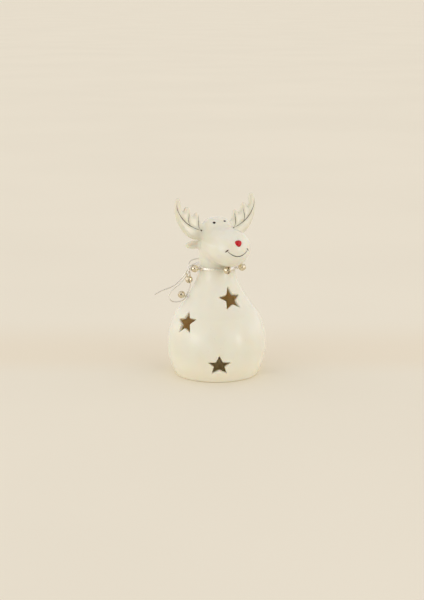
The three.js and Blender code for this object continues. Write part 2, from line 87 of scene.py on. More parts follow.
class Nodes:
    """Short way to build a shader tree around one Principled node."""

    def __init__(self, name, **settings):
        self.material = bpy.data.materials.new(name)
        self.material.use_nodes = True
        self.tree = self.material.node_tree
        self.shader = self.tree.nodes["Principled BSDF"]
        for socket, value in settings.items():
            self.shader.inputs[socket.replace("_", " ")].default_value = value
        self.place = self.add("ShaderNodeTexCoord").outputs["Object"]

    def add(self, kind, **attributes):
        node = self.tree.nodes.new(kind)
        for name, value in attributes.items():
            setattr(node, name, value)
        return node

    def link(self, source, target):
        self.tree.links.new(source, target)

    def noise(self, scale, detail=3.0, roughness=0.5):
        """Noise over the object; scale is in cycles per metre."""
        node = self.add("ShaderNodeTexNoise")
        node.inputs["Scale"].default_value = scale
        node.inputs["Detail"].default_value = detail
        node.inputs["Roughness"].default_value = roughness
        self.link(self.place, node.inputs["Vector"])
        return node.outputs["Fac"]

    def voronoi(self, scale):
        node = self.add("ShaderNodeTexVoronoi")
        node.inputs["Scale"].default_value = scale
        self.link(self.place, node.inputs["Vector"])
        return node.outputs["Distance"]

    def along(self, aim):
        """Distance in metres along a direction over the object."""
        node = self.add("ShaderNodeVectorMath", operation="DOT_PRODUCT")
        node.inputs[1].default_value = aim
        self.link(self.place, node.inputs[0])
        return node.outputs["Value"]

    def attribute(self, name):
        return self.add("ShaderNodeAttribute", attribute_name=name).outputs["Fac"]

    def span(self, value, low, high, to_low=0.0, to_high=1.0):
        """Maps low..high to to_low..to_high, clamped and eased."""
        node = self.add("ShaderNodeMapRange", interpolation_type="SMOOTHSTEP")
        node.inputs["From Min"].default_value = low
        node.inputs["From Max"].default_value = high
        node.inputs["To Min"].default_value = to_low
        node.inputs["To Max"].default_value = to_high
        self.link(value, node.inputs["Value"])
        return node.outputs["Result"]

    def math(self, operation, a, b):
        node = self.add("ShaderNodeMath", operation=operation)
        for socket, value in zip(node.inputs, (a, b)):
            if isinstance(value, (int, float)):
                socket.default_value = value
            else:
                self.link(value, socket)
        return node.outputs[0]

    def mix(self, share, a, b):
        """Colour a where share is 0 and b where it is 1."""
        node = self.add("ShaderNodeMix", data_type="RGBA")
        self.link(share, node.inputs["Factor"])
        for socket, value in ((node.inputs["A"], a), (node.inputs["B"], b)):
            if isinstance(value, tuple):
                socket.default_value = value
            else:
                self.link(value, socket)
        return node.outputs["Result"]

    def bump(self, height, distance_mm, strength=1.0):
        node = self.add("ShaderNodeBump")
        node.inputs["Strength"].default_value = strength
        node.inputs["Distance"].default_value = distance_mm * MM
        self.link(height, node.inputs["Height"])
        self.link(node.outputs["Normal"], self.shader.inputs["Normal"])

    def drive(self, **sockets):
        for socket, value in sockets.items():
            self.link(value, self.shader.inputs[socket.replace("_", " ")])
        return self.material


# ---------------------------------------------------------------- materials
IVORY = srgb(234, 233, 220)
IVORY_POOLED = srgb(232, 229, 213)
# Painted bounce light: the glaze's colour near the bottom, lighter and warmer.
IVORY_PAINTED_BOUNCE = srgb(241, 237, 220)
# Painted shade: the darker, greyer ivory of the antlers.
IVORY_ANTLER_SHADE = srgb(226, 223, 206)
IVORY_THIN = srgb(232, 219, 188)
SPECK_BROWN = srgb(168, 140, 98)
CLAY_INSIDE = srgb(250, 239, 205)
CLAY_GRAIN = srgb(246, 232, 194)
CLAY_FOOT = srgb(236, 224, 196)
# Painted glow of the bare inner face: its colour and strength.
PAINTED_GLOW_AMBER = srgb(255, 212, 130)
PAINTED_GLOW_STRENGTH = 0.011


def glaze_material():
    """Ivory glaze: pools a little unevenly, runs thin over edges, and stops at the bare clay inside. It
    also carries painted light: lighter and warmer towards the bottom for floor bounce, painted shade on the
    antlers, and a faint painted glow on the bare inner face.
    """
    m = Nodes(
        "ivory_glaze", IOR=1.45, Emission_Color=PAINTED_GLOW_AMBER, Subsurface_Weight=0.5,
        Subsurface_Radius=(1.0, 0.72, 0.45), Subsurface_Scale=0.0025,
    )
    cloud = m.span(m.noise(38, 2.0), 0.3, 0.72)
    skin = m.mix(cloud, IVORY, IVORY_POOLED)
    # Painted light: lighter and warmer towards the bottom, standing in for bounce light off the floor.
    skin = m.mix(m.span(m.along((0, 0, 1)), 0.004, 0.026, 1.0, 0.0), skin, IVORY_PAINTED_BOUNCE)
    # Painted shade: the antlers are darkened to a greyer ivory.
    skin = m.mix(m.attribute("antler"), skin, IVORY_ANTLER_SHADE)
    speck = m.span(m.voronoi(210), 0.035, 0.06, 0.35, 0.0)
    skin = m.mix(speck, skin, SPECK_BROWN)
    skin = m.mix(m.span(m.attribute("edge"), 0.1, 0.9, 0.0, 0.55), skin, IVORY_THIN)
    grain = m.span(m.noise(900, 5.0), 0.3, 0.7)
    clay = m.mix(grain, CLAY_INSIDE, CLAY_GRAIN)
    colour = m.mix(m.attribute("inside"), skin, clay)
    colour = m.mix(m.attribute("foot"), colour, CLAY_FOOT)
    bare = m.math("MAXIMUM", m.attribute("inside"), m.attribute("foot"))
    wave = m.math("ADD", m.noise(120, 2.0), m.math("MULTIPLY", m.noise(1500, 2.0), 0.12))
    rough = m.math("ADD", m.span(m.noise(70, 3.0), 0.3, 0.7, 0.18, 0.24), m.math("MULTIPLY", bare, 0.55))
    m.bump(wave, 0.05)
    # Painted glow: the inner face emits a faint amber light, standing in for light that passes through the
    # thin wall.
    painted_glow = m.math("MULTIPLY", m.attribute("inside"), PAINTED_GLOW_STRENGTH)
    return m.drive(Base_Color=colour, Roughness=rough, Emission_Strength=painted_glow)


def red_enamel():
    m = Nodes("red_enamel", Roughness=0.14)
    shade = m.mix(m.span(m.noise(260, 3.0), 0.35, 0.7), srgb(204, 14, 26), srgb(176, 6, 18))
    m.bump(m.noise(500, 2.0), 0.05)
    return m.drive(Base_Color=shade)


def line_enamel(name, light, dark):
    """Brushed-on paint line: colour and gloss vary with the amount of paint."""
    m = Nodes(name, Specular_IOR_Level=0.2)
    shade = m.mix(m.span(m.noise(900, 3.0), 0.3, 0.7), light, dark)
    rough = m.span(m.noise(700, 2.0), 0.3, 0.7, 0.25, 0.5)
    return m.drive(Base_Color=shade, Roughness=rough)


def plated_metal(name, light, dark, low, high, grain=700):
    """Bright plated metal with faint tarnish and handling marks."""
    m = Nodes(name, Metallic=1.0)
    shade = m.mix(m.span(m.noise(grain, 4.0), 0.35, 0.75), light, dark)
    rough = m.span(m.noise(grain * 2.3, 4.0), 0.3, 0.7, low, high)
    m.bump(m.noise(grain * 5, 3.0), 0.004)
    return m.drive(Base_Color=shade, Roughness=rough)


def moulded_plastic(name, light, dark, low=0.42, high=0.6, **settings):
    """Moulded plastic with a fine spark-eroded texture."""
    m = Nodes(name, **settings)
    shade = m.mix(m.span(m.noise(150, 3.0), 0.3, 0.7), light, dark)
    rough = m.span(m.noise(1100, 3.0), 0.3, 0.7, low, high)
    m.bump(m.noise(4200, 3.0), 0.02)
    return m.drive(Base_Color=shade, Roughness=rough)


GLAZE = glaze_material()
RED = red_enamel()
BLACK_LINE = line_enamel("black_enamel", srgb(28, 24, 22), srgb(12, 10, 10))
BROWN_LINE = line_enamel("brown_enamel", srgb(72, 52, 36), srgb(48, 34, 24))
GREY_LINE = line_enamel("grey_enamel", srgb(104, 92, 75), srgb(76, 66, 52))
WIRE = plated_metal("silver_wire", srgb(250, 248, 244), srgb(242, 239, 233), 0.24, 0.32, grain=300)
BOW_FINISH = plated_metal("bow_silver", srgb(232, 228, 220), srgb(220, 215, 204), 0.36, 0.46, grain=300)
BELL = plated_metal("bell_plating", srgb(230, 219, 195), srgb(212, 199, 170), 0.03, 0.08)
STEEL = plated_metal("plated_steel", srgb(205, 203, 198), srgb(172, 168, 160), 0.2, 0.38)
CASE = moulded_plastic("case_plastic", srgb(238, 231, 214), srgb(230, 222, 203))
BLACK_PLASTIC = moulded_plastic("black_plastic", srgb(38, 36, 34), srgb(26, 25, 24), 0.35, 0.5)
SILICONE = moulded_plastic("silicone", srgb(205, 203, 192), srgb(190, 187, 176), 0.5, 0.7)
FROSTED = moulded_plastic("frosted_plastic", srgb(240, 230, 205), srgb(232, 220, 192), 0.45, 0.6)
EPOXY = moulded_plastic("led_epoxy", srgb(236, 226, 190), srgb(226, 214, 172), 0.08, 0.16)
BOARD = moulded_plastic("solder_mask", srgb(34, 92, 52), srgb(24, 76, 42), 0.25, 0.35)


# ---------------------------------------------------------------- curves and wires
def between(u, v, start, stop, t):
    """The point at t on the line through u at start and v at stop."""
    return ((stop - t) * u + (t - start) * v) / (stop - start)


def spline(points, per_span=8):
    """Centripetal Catmull-Rom curve through the points, as CAD draws its wires."""
    p = np.array(points, float)
    p = np.vstack([2 * p[0] - p[1], p, 2 * p[-1] - p[-2]])
    line = []
    for a, b, c, d in zip(p, p[1:], p[2:], p[3:]):
        k0, k1, k2, k3 = np.cumsum([0] + [np.linalg.norm(v) ** 0.5 for v in (b - a, c - b, d - c)])
        for t in np.linspace(k1, k2, per_span, endpoint=False):
            ab, bc, cd = between(a, b, k0, k1, t), between(b, c, k1, k2, t), between(c, d, k2, k3, t)
            line.append(between(between(ab, bc, k0, k2, t), between(bc, cd, k1, k3, t), k1, k2, t))
    return np.array(line + [p[-2]])


def link_object(name, data, body, material):
    """A new piece that rides on a body."""
    piece = bpy.data.objects.new(name, data)
    bpy.context.scene.collection.objects.link(piece)
    if not data.materials:
        data.materials.append(material)
    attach(piece, body)
    return piece


def wire_object(name, lines, diameter, material, body="reindeer"):
    """Round wires along lines of points in millimetres, as one piece."""
    curve = bpy.data.curves.new(name, "CURVE")
    curve.dimensions = "3D"
    curve.bevel_depth = diameter / 2 * MM
    curve.bevel_resolution = 5
    curve.use_fill_caps = True
    for line in lines:
        points = curve.splines.new("POLY").points
        points.add(len(line) - 1)
        points.foreach_set("co", np.c_[np.array(line) * MM, np.ones(len(line))].ravel())
    return link_object(name, curve, body, material)


def bearing(degrees):
    """Unit vector at a bearing about +Z: 0 is the face (-Y), 90 is the left side (+X)."""
    a = math.radians(degrees)
    return np.array([math.sin(a), -math.cos(a), 0.0])


# ---------------------------------------------------------------- bow wires
BOW_BEARING = -118
BOW_WIRE = 1.0
UP = np.array([0.0, 0.0, 1.0])


def bow_point(out, front, height):
    """A place beside the neck: out from the axis at the bow's bearing, and in front of its plane."""
    return bearing(BOW_BEARING) * out + bearing(BOW_BEARING + 90) * front + UP * height


LOWER_LOOP = [  # out, front, height
    (22.9, 4.7, 87.9), (23.4, 5.0, 85.7), (25.4, 5.0, 82.3), (28.1, 5.0, 78.7), (31.0, 5.0, 75.5),
    (34.6, 5.0, 72.4), (37.7, 5.0, 69.2), (39.1, 5.0, 66.3), (38.7, 5.0, 63.6), (36.8, 5.0, 61.5),
    (33.8, 5.0, 60.8), (30.3, 5.0, 61.3), (27.2, 5.0, 63.0), (25.2, 4.9, 65.6), (23.7, 4.2, 69.0),
    (22.3, 2.8, 73.0), (21.8, 1.4, 76.8), (21.8, 0.8, 80.4), (22.0, 1.6, 83.6), (22.3, 2.9, 85.6),
    (22.6, 4.0, 87.7),
]
UPPER_LOOP = [
    (22.8, 4.5, 89.8), (22.9, 4.4, 91.9), (22.6, 3.2, 93.2), (21.3, 0.6, 94.3), (18.3, -4.4, 94.8),
    (14.3, -10.9, 94.3), (9.6, -17.0, 94.2), (5.8, -20.3, 94.3), (3.6, -21.7, 93.9), (2.7, -22.2, 92.7),
    (3.7, -21.9, 91.4), (6.6, -20.6, 90.9), (11.0, -17.4, 90.8), (15.6, -12.0, 90.5), (19.0, -5.8, 90.3),
    (21.2, -0.6, 90.1), (22.0, 1.9, 89.9), (22.5, 3.6, 89.5),
]
TAIL = [
    (23.2, 4.2, 88.3), (24.6, 3.3, 86.5), (26.4, 2.6, 83.3), (29.1, 2.6, 79.8), (32.2, 3.2, 76.5),
    (35.0, 4.0, 74.4), (39.0, 4.6, 72.5), (42.8, 5.0, 71.2), (47.0, 5.2, 69.4), (51.2, 5.2, 67.0),
]


def bow_wire(name, node, places):
    line = spline([bow_point(*place) for place in places])
    piece = wire_object(name, [line], BOW_WIRE, BOW_FINISH)
    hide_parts(node)


# ---------------------------------------------------------------- distance fields
# A field gives each point's distance to a surface in millimetres, negative inside the material.
def smooth_min(a, b, fillet):
    h = np.maximum(fillet - np.abs(a - b), 0) / fillet
    return np.minimum(a, b) - h * h * fillet / 4


def smooth_max(a, b, fillet):
    return -smooth_min(-a, -b, fillet)


def ellipsoid(p, centre, semi, power=2.0):
    """Superellipsoid; power above 2 makes it squarer."""
    q = np.abs((p - np.array(centre)) / np.array(semi))
    return ((q ** power).sum(-1) ** (1 / power) - 1) * min(semi)


def ring_field(p, centre, axis, radius, wire):
    """Torus about a unit axis."""
    q = p - np.array(centre)
    along = q @ np.array(axis)
    across = np.linalg.norm(q - along[..., None] * np.array(axis), axis=-1)
    return np.hypot(across - radius, along) - wire


def polyline_distance(p, line):
    """Distance from points to an open line, in two or three dimensions."""
    best = np.full(p.shape[:-1], np.inf)
    for a, b in zip(line, line[1:]):
        d = b - a
        t = np.clip(((p - a) @ d) / (d @ d), 0, 1)
        best = np.minimum(best, ((p - a - t[..., None] * d) ** 2).sum(-1))
    return np.sqrt(best)


def outline_field(p, outline):
    """Signed distance from 2-D points to a closed outline, negative inside it."""
    inside = np.zeros(p.shape[:-1], bool)
    closed = np.vstack([outline, outline[:1]])
    for (ax, ay), (bx, by) in zip(closed, closed[1:]):
        if ay != by:
            crosses = (p[..., 1] < ay) != (p[..., 1] < by)
            inside ^= crosses & (p[..., 0] < ax + (p[..., 1] - ay) * (bx - ax) / (by - ay))
    return np.where(inside, -1, 1) * polyline_distance(p, closed)


CORNERS = np.array([(i, j, k) for i in (0, 1) for j in (0, 1) for k in (0, 1)])
EDGES = [(a, b) for a in range(8) for b in range(a + 1, 8) if np.abs(CORNERS[a] - CORNERS[b]).sum() == 1]
AXES = np.eye(3, dtype=int)


def surface_nets(values, low, step):
    """Points and quads of the zero surface of a sampled field, one point in each cell it crosses."""
    inside = values < 0
    nx, ny, nz = np.array(values.shape) - 1
    full = sum(inside[i:i + nx, j:j + ny, k:k + nz].astype(np.int8) for i, j, k in CORNERS)
    cells = np.argwhere((full > 0) & (full < 8))
    index = np.full((nx, ny, nz), -1)
    index[tuple(cells.T)] = np.arange(len(cells))
    corner = np.stack([values[tuple((cells + c).T)] for c in CORNERS], axis=1)
    total, hits = np.zeros((len(cells), 3)), np.zeros(len(cells))
    for a, b in EDGES:
        crossed = (corner[:, a] < 0) != (corner[:, b] < 0)
        fa, fb = corner[crossed, a], corner[crossed, b]
        t = (fa / (fa - fb))[:, None]
        total[crossed] += CORNERS[a] * (1 - t) + CORNERS[b] * t
        hits[crossed] += 1
    points = (cells + total / hits[:, None]) * step + low
    quads = []
    for axis in range(3):
        u, v = AXES[(axis + 1) % 3], AXES[(axis + 2) % 3]
        ahead = np.roll(inside, -1, axis)
        edges = np.argwhere(inside != ahead)
        edges = edges[(edges >= 1 - AXES[axis]).all(1) & (edges < np.array(index.shape)).all(1)]
        ring = [index[tuple((edges - d).T)] for d in (u + v, v, 0 * u, u)]
        faces = np.stack(ring, axis=1)
        outward = inside[tuple(edges.T)]
        faces[~outward] = faces[~outward][:, ::-1]
        quads.append(faces[(faces >= 0).all(1)])
    return points, np.concatenate(quads)


def gradient(field, points, nudge):
    offsets = np.eye(3) * nudge
    return np.stack([field(points + d) - field(points - d) for d in offsets], axis=1) / (2 * nudge)


def settle(field, points, step, rounds):
    """Moves points onto the zero surface of the field."""
    for _ in range(rounds):
        slope = gradient(field, points, step * 0.1)
        size = np.maximum((slope ** 2).sum(1), 0.05)
        move = -(field(points) / size)[:, None] * slope
        length = np.linalg.norm(move, axis=1, keepdims=True)
        points = points + move * np.minimum(1, 0.6 * step / np.maximum(length, 1e-9))
    return points


def relax(points, quads, share):
    """Moves each point part of the way to the middle of its neighbours."""
    total, count = np.zeros_like(points), np.zeros(len(points))
    for i in range(4):
        a, b = quads[:, i], quads[:, (i + 1) % 4]
        for here, there in ((a, b), (b, a)):
            for k in range(3):
                total[:, k] += np.bincount(here, points[there, k], len(points))
            count += np.bincount(here, minlength=len(points))
    return points + share * (total / count[:, None] - points)


def sampled(field, low, high, step):
    """The field on a grid, worked out only where a coarse pass says that the surface is near."""
    coarse = 4  # fine steps in one step of the coarse pass
    counts = np.ceil((np.array(high) - low) / step / coarse).astype(int) * coarse + 1
    axes = [low[k] + np.arange(counts[k]) * step for k in range(3)]
    rough_axes = [axis[::coarse] for axis in axes]
    rough = field(np.stack(np.meshgrid(*rough_axes, indexing="ij"), -1))
    reach = np.abs(rough) < step * coarse * 1.9
    near = np.zeros(np.array(rough.shape) - 1, bool)
    n = near.shape
    for i, j, k in CORNERS:
        near |= reach[i:i + n[0], j:j + n[1], k:k + n[2]]
    values = np.repeat(np.repeat(np.repeat(rough, coarse, 0), coarse, 1), coarse, 2)
    values = values[:counts[0], :counts[1], :counts[2]].copy()
    fine = np.zeros(counts, bool)
    block = np.repeat(np.repeat(np.repeat(near, coarse, 0), coarse, 1), coarse, 2)
    for i, j, k in CORNERS:
        fine[i:i + block.shape[0], j:j + block.shape[1], k:k + block.shape[2]] |= block
    where = np.argwhere(fine)
    values[tuple(where.T)] = field(where * step + low)
    return values


def field_mesh(name, field, low, high, step, rounds=3):
    """Closed mesh of a field's zero surface, with points in millimetres; returns it and its points."""
    low = np.array(low, float)
    points, quads = surface_nets(sampled(field, low, high, step), low, step)
    for _ in range(rounds):
        points = settle(field, relax(points, quads, 0.5), step, 1)
    points = settle(field, points, step, 3)
    return mesh_of(name, points, quads), points


def mesh_of(name, points, faces):
    mesh = bpy.data.meshes.new(name)
    mesh.from_pydata((points * MM).tolist(), [], [list(map(int, f)) for f in faces])
    mesh.polygons.foreach_set("use_smooth", np.ones(len(mesh.polygons), bool))
    mesh.update()
    return mesh


def mark(mesh, name, values):
    """Stores one number per point for the materials to read."""
    mesh.attributes.new(name, "FLOAT", "POINT").data.foreach_set("value", values.astype(np.float32))


# ---------------------------------------------------------------- ceramic
WALL = 3.0
BODY_PROFILE = np.array([  # radius, height
    (34.4, 0.8), (38.3, 9.5), (40.5, 19.8), (40.5, 30.2), (38.8, 40.3), (34.4, 50.7),
    (26.6, 61.3), (19.8, 72.8), (16.3, 81.5), (15.3, 88.0), (14.1, 96.0), (11.5, 112.0),
])
FOOT_INNER, FOOT_RECESS, BASE_HOLE = 27.5, 2.5, 20.0
FLOOR_TOP = FOOT_RECESS + WALL
BASE_HOLE_TOP, BASE_BELOW = 12, 14  # the base's cuts are worked out below the second height
STUCK_ON_FILLET, NECK_FILLET, CAVITY_FILLET = 2.5, 1.5, 4
HEAD_FROM = 84  # lower down there is only the turned body
ANTLER_BESIDE, ANTLER_ABOVE = 7, 109  # the antlers are worked out only past these
LOBES = [  # nape, skull, cheeks and muzzle: centre, semi-axes, power, fillet
    ((0, 0, 100), (13.3, 13.3, 21), 2.6, 0),
    ((0, 0.3, 114.6), (13.4, 10.4, 16.1), 2.7, 6),
    ((0, -11.5, 109.5), (13, 13, 10.5), 2.0, 6),
    ((0, -24.1, 108.7), (15.6, 15.6, 14.9), 2.0, 12),
]
MUZZLE_CENTRE, MUZZLE_SEMI = np.array(LOBES[-1][0], float), np.array(LOBES[-1][1], float)
STAR_R, STAR_INNER, STAR_RIM, STAR_TAPER = 10.8, 0.45, 0.45, 0.16
CERAMIC_STEP = 0.7
STARS = [  # bearing, height, turn to the left, and how tall the star is for its width
    (-25, 15, 0, 0.86), (61, 15.4, 0, 0.95), (2, 66.8, 1, 1), (-73, 48.3, 8, 1),
    (-133, 17, -4, 0.95), (144, 18, 3, 0.9), (104, 47, -6, 1), (-172, 60, 5, 1),
]
STAR_POINT = 0.1  # radius of the star's points
COS_36, SIN_36 = 0.809017, 0.587785
ANTLER_HALF, ANTLER_LEAN = 2.3, math.radians(6.5)
ANTLER_PIVOT = np.array([14.0, 0.4, 119.0])
EAR_CENTRE, EAR_SEMI = np.array([19.2, 3.2, 108.9]), np.array([8.2, 2.4, 3.4])

PROFILE_R, PROFILE_Z = BODY_PROFILE.T
PROFILE_SLOPE = np.gradient(PROFILE_R, PROFILE_Z)


def body_radius(z):
    """Radius of the body at a height and its slope, by cubic spans through the profile."""
    i = np.clip(np.searchsorted(PROFILE_Z, z) - 1, 0, len(PROFILE_Z) - 2)
    h = PROFILE_Z[i + 1] - PROFILE_Z[i]
    t = np.clip((z - PROFILE_Z[i]) / h, 0, 1)
    r0, r1 = PROFILE_R[i], PROFILE_R[i + 1]
    s0, s1 = PROFILE_SLOPE[i] * h, PROFILE_SLOPE[i + 1] * h
    radius = r0 + t * (s0 + t * (3 * (r1 - r0) - 2 * s0 - s1 + t * (2 * (r0 - r1) + s0 + s1)))
    slope = (s0 + t * (2 * (3 * (r1 - r0) - 2 * s0 - s1) + t * 3 * (2 * (r0 - r1) + s0 + s1))) / h
    return radius, slope


def turned_body(p):
    radius, slope = body_radius(p[..., 2])
    side = (np.hypot(p[..., 0], p[..., 1]) - radius) / np.sqrt(1 + slope ** 2)
    return np.maximum(side, p[..., 2] - PROFILE_Z[-1])


def head_field(p, shrink=0.0):
    head = np.inf
    for centre, semi, power, fillet in LOBES:
        lobe = ellipsoid(p, centre, np.array(semi) - shrink, power)
        head = smooth_min(head, lobe, fillet) if fillet else lobe
    return head


def curve_points(start, *spans, steps=5):
    """Outline from a start through quadratic spans of (control, end)."""
    line, here = [np.array(start, float)], np.array(start, float)
    for control, end in spans:
        control, end = np.array(control, float), np.array(end, float)
        for t in np.linspace(0, 1, steps + 1)[1:]:
            line.append((1 - t) ** 2 * here + 2 * t * (1 - t) * control + t * t * end)
        here = end
    return np.array(line)


ANTLER_OUTLINE = curve_points(
    (10, 113), ((13, 113), (16, 113)), ((23, 113.2), (27.6, 117.4)), ((33.2, 122.6), (35.8, 130.4)),
    ((37.8, 137), (37.2, 142.4)), ((36.4, 148.3), (33.9, 148.3)), ((31.4, 147.9), (31.4, 143.2)),
    ((31.4, 138.6), (30.2, 137.2)), ((29.2, 137), (28.8, 138.6)), ((27.8, 141), (25.8, 140.6)),
    ((23.6, 140), (23.4, 137)), ((22.8, 134), (21.4, 133)), ((20.4, 133), (20, 134)),
    ((18.7, 136), (17, 135.2)), ((15.2, 134), (15.3, 130.2)), ((15.1, 126.6), (10, 124.6)),
)
# Painted strokes in the antler's own plane: main beam, middle prong and inner prong.
ANTLER_STROKES = [
    [(15.2, 120.6), (17.4, 121.5), (20, 122.6), (25, 125.5), (29.3, 129), (33, 133.8), (35.4, 139),
     (36, 143)],
    [(24.5, 125.3), (25.6, 127.4), (25.9, 129.9), (25.3, 133), (24.9, 136)],
    [(15.4, 120.8), (16.8, 123.2), (17.1, 126), (17, 129.2), (16.6, 133)],
]
GROOVE_WIDTH, GROOVE_DEPTH = 1.1, 0.3
ANTLER_SWELL, SWELL_REACH, ANTLER_ROUND = 0.35, 2.5, 2.4


def in_antler(p):
    """(across, up) in the antler's plane, and the distance behind that plane."""
    y, z = p[..., 1] - ANTLER_PIVOT[1], p[..., 2] - ANTLER_PIVOT[2]
    c, s = math.cos(ANTLER_LEAN), math.sin(ANTLER_LEAN)
    plane = np.stack([np.abs(p[..., 0]), ANTLER_PIVOT[2] + z * c + y * s], -1)
    return plane, y * c - z * s


def antler_place(across, up, behind=0.0):
    """The point of the left antler at a place in its plane."""
    c, s = math.cos(ANTLER_LEAN), math.sin(ANTLER_LEAN)
    z = up - ANTLER_PIVOT[2]
    return np.array([across, ANTLER_PIVOT[1] + z * s + behind * c, ANTLER_PIVOT[2] + z * c - behind * s])


def antler_field(p):
    """Flat antler with a swollen middle and a shallow groove under each painted stroke."""
    plane, behind = in_antler(p)
    flat = outline_field(plane, ANTLER_OUTLINE)
    groove = np.full(flat.shape, np.inf)
    for stroke in ANTLER_STROKES:
        groove = np.minimum(groove, polyline_distance(plane, np.array(stroke)))
    dent = GROOVE_DEPTH * np.exp(-(groove / GROOVE_WIDTH) ** 2)
    swell = ANTLER_SWELL * np.clip(-flat / SWELL_REACH, 0, 1)
    thickness = np.abs(behind) - ANTLER_HALF + ANTLER_SWELL - swell + dent
    return smooth_max(flat, thickness, ANTLER_ROUND)


def ear_field(p):
    """Leaf-shaped ear with a hollow in its front."""
    q = np.stack([np.abs(p[..., 0]), p[..., 1], p[..., 2]], -1)
    leaf = ellipsoid(q, EAR_CENTRE, EAR_SEMI, 1.8)
    dish = ellipsoid(q, EAR_CENTRE + (0.6, -EAR_SEMI[1] * 0.95, 0), EAR_SEMI * (0.74, 0.75, 0.6))
    return smooth_max(leaf, -dish, 0.7)


def star_field(x, y, radius, inner):
    """Five-pointed star with one point up, folded onto one of its half points."""
    x = np.abs(x)
    for kx, ky in ((COS_36, -SIN_36), (-COS_36, -SIN_36)):
        d = 2 * np.maximum(kx * x + ky * y, 0)
        x, y = x - d * kx, y - d * ky
    x, y = np.abs(x), y - radius
    bx, by = inner * SIN_36, inner * COS_36 - 1
    h = np.clip((x * bx + y * by) / (bx * bx + by * by), 0, radius)
    return np.hypot(x - bx * h, y - by * h) * np.sign(y * bx - x * by)


def star_frame(turn, height):
    """Centre of a star on the skin, and its sideways, upward and outward directions."""
    radius, slope = body_radius(height)
    out = bearing(turn)
    normal = (out - UP * slope) / math.sqrt(1 + slope ** 2)
    side = np.cross(UP, out)
    return out * radius + UP * height, side, np.cross(normal, side), normal


def stars_field(p):
    """Distance to the nearest star-shaped hole; each is cut on a slant, so it narrows inwards."""
    best = np.full(p.shape[:-1], 10.0)
    for turn, height, tilt, tall in STARS:
        centre, side, up, normal = star_frame(turn, height)
        q = p - centre
        near = (q ** 2).sum(-1) < (STAR_R + 6) ** 2
        q = q[near]
        c, s = math.cos(math.radians(tilt)), math.sin(math.radians(tilt))
        x, y = q @ side, q @ up
        out = q @ normal
        x, y = x * c + y * s, (y * c - x * s) / tall
        star = star_field(x, y, STAR_R - STAR_POINT, STAR_INNER) - STAR_POINT
        star += STAR_TAPER * np.clip(-out, 0, WALL)
        best[near] = np.minimum(best[near], np.maximum(star, np.abs(out) - 2 * WALL))
    return best


def outer_field(p):
    """The glazed skin, without its holes."""
    shape = turned_body(p)
    high = p[..., 2] > HEAD_FROM
    q = p[high]
    head = smooth_min(head_field(q), ear_field(q), STUCK_ON_FILLET)
    side = (np.abs(q[..., 0]) > ANTLER_BESIDE) & (q[..., 2] > ANTLER_ABOVE)
    antler = np.full(head.shape, 20.0)
    antler[side] = antler_field(q[side])
    shape[high] = smooth_min(shape[high], smooth_min(head, antler, STUCK_ON_FILLET), NECK_FILLET)
    return shape


def cavity_field(p):
    """The hollow inside the body and the head."""
    hollow = smooth_max(turned_body(p) + WALL, FLOOR_TOP - p[..., 2], CAVITY_FILLET)
    high = p[..., 2] > HEAD_FROM
    hollow[high] = smooth_min(hollow[high], head_field(p[high], WALL), CAVITY_FILLET)
    return hollow


def ceramic_field(p):
    """The whole ceramic: skin, hollow, foot recess, base hole and stars."""
    across, z = np.hypot(p[..., 0], p[..., 1]), p[..., 2]
    shape = smooth_max(outer_field(p), -z, 0.9)
    shape = np.maximum(shape, -cavity_field(p))
    low = z < BASE_BELOW
    if low.any():
        r, h, s = across[low], z[low], shape[low]
        s = smooth_max(s, -smooth_max(r - FOOT_INNER, h - FOOT_RECESS, 1.5), 1.0)
        shape[low] = smooth_max(s, -np.maximum(r - BASE_HOLE, h - BASE_HOLE_TOP), 1.2)
    return smooth_max(shape, -stars_field(p), STAR_RIM)


def make_ceramic():
    """The fused ceramic, marked with where it is bare, thinly glazed, foot or antler."""
    mesh, points = field_mesh("glazed_reindeer", ceramic_field, (-44, -44, -2), (44, 44, 151), CERAMIC_STEP)
    depth = -outer_field(points)
    z = points[:, 2]
    above_base = z > FOOT_RECESS + 0.7
    # The inside mark places the bare clay and its painted glow.
    mark(mesh, "inside", np.clip((depth - 1.9) / 0.8, 0, 1) * above_base)
    mark(mesh, "edge", np.exp(-((depth - 0.35) / 0.3) ** 2) * above_base)
    mark(mesh, "foot", np.clip((0.9 - z) / 0.5, 0, 1))
    # The antler mark places the antlers' painted shade.
    mark(mesh, "antler", np.clip((np.abs(points[:, 0]) - 13) / 4, 0, 1) * (z > 112.5))
    piece = link_object("glazed_reindeer", mesh, "reindeer", GLAZE)
    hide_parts("ceramic_body", "antler_left", "antler_right", "ear_left", "ear_right")


make_ceramic()


# ---------------------------------------------------------------- painted face and antler lines
FACE_TURN = -4.6  # the face was painted a little to its right
PAINT_STEP, PAINT_NUDGE = 0.5, 0.2  # for settling paint on the glaze
STROKE_SECTION = [(-1.0, -0.6), (-0.75, 0.55), (0.0, 1.0), (0.75, 0.55), (1.0, -0.6), (0.0, -1.6)]


def on_muzzle(turn, rise):
    """The muzzle's surface at a turn towards +X and a rise, in degrees from its centre."""
    aim = bearing(FACE_TURN + turn) * math.cos(math.radians(rise)) + UP * math.sin(math.radians(rise))
    return MUZZLE_CENTRE + aim * MUZZLE_SEMI


def skin_frames(line):
    """The line settled on the glaze, with the direction across it and the normal at each point."""
    line = settle(ceramic_field, np.array(line, float), PAINT_STEP, 6)
    along = unit(np.gradient(line, axis=0))
    normal = unit(gradient(ceramic_field, line, PAINT_NUDGE))
    return line, unit(np.cross(normal, along)), normal


def resampled(line, step):
    """The line's points spaced evenly, about a step apart."""
    line = np.array(line, float)
    along = np.r_[0, np.cumsum(np.linalg.norm(np.diff(line, axis=0), axis=1))]
    at = np.linspace(0, along[-1], max(4, int(along[-1] / step)))
    return np.stack([np.interp(at, along, line[:, k]) for k in range(3)], axis=1)


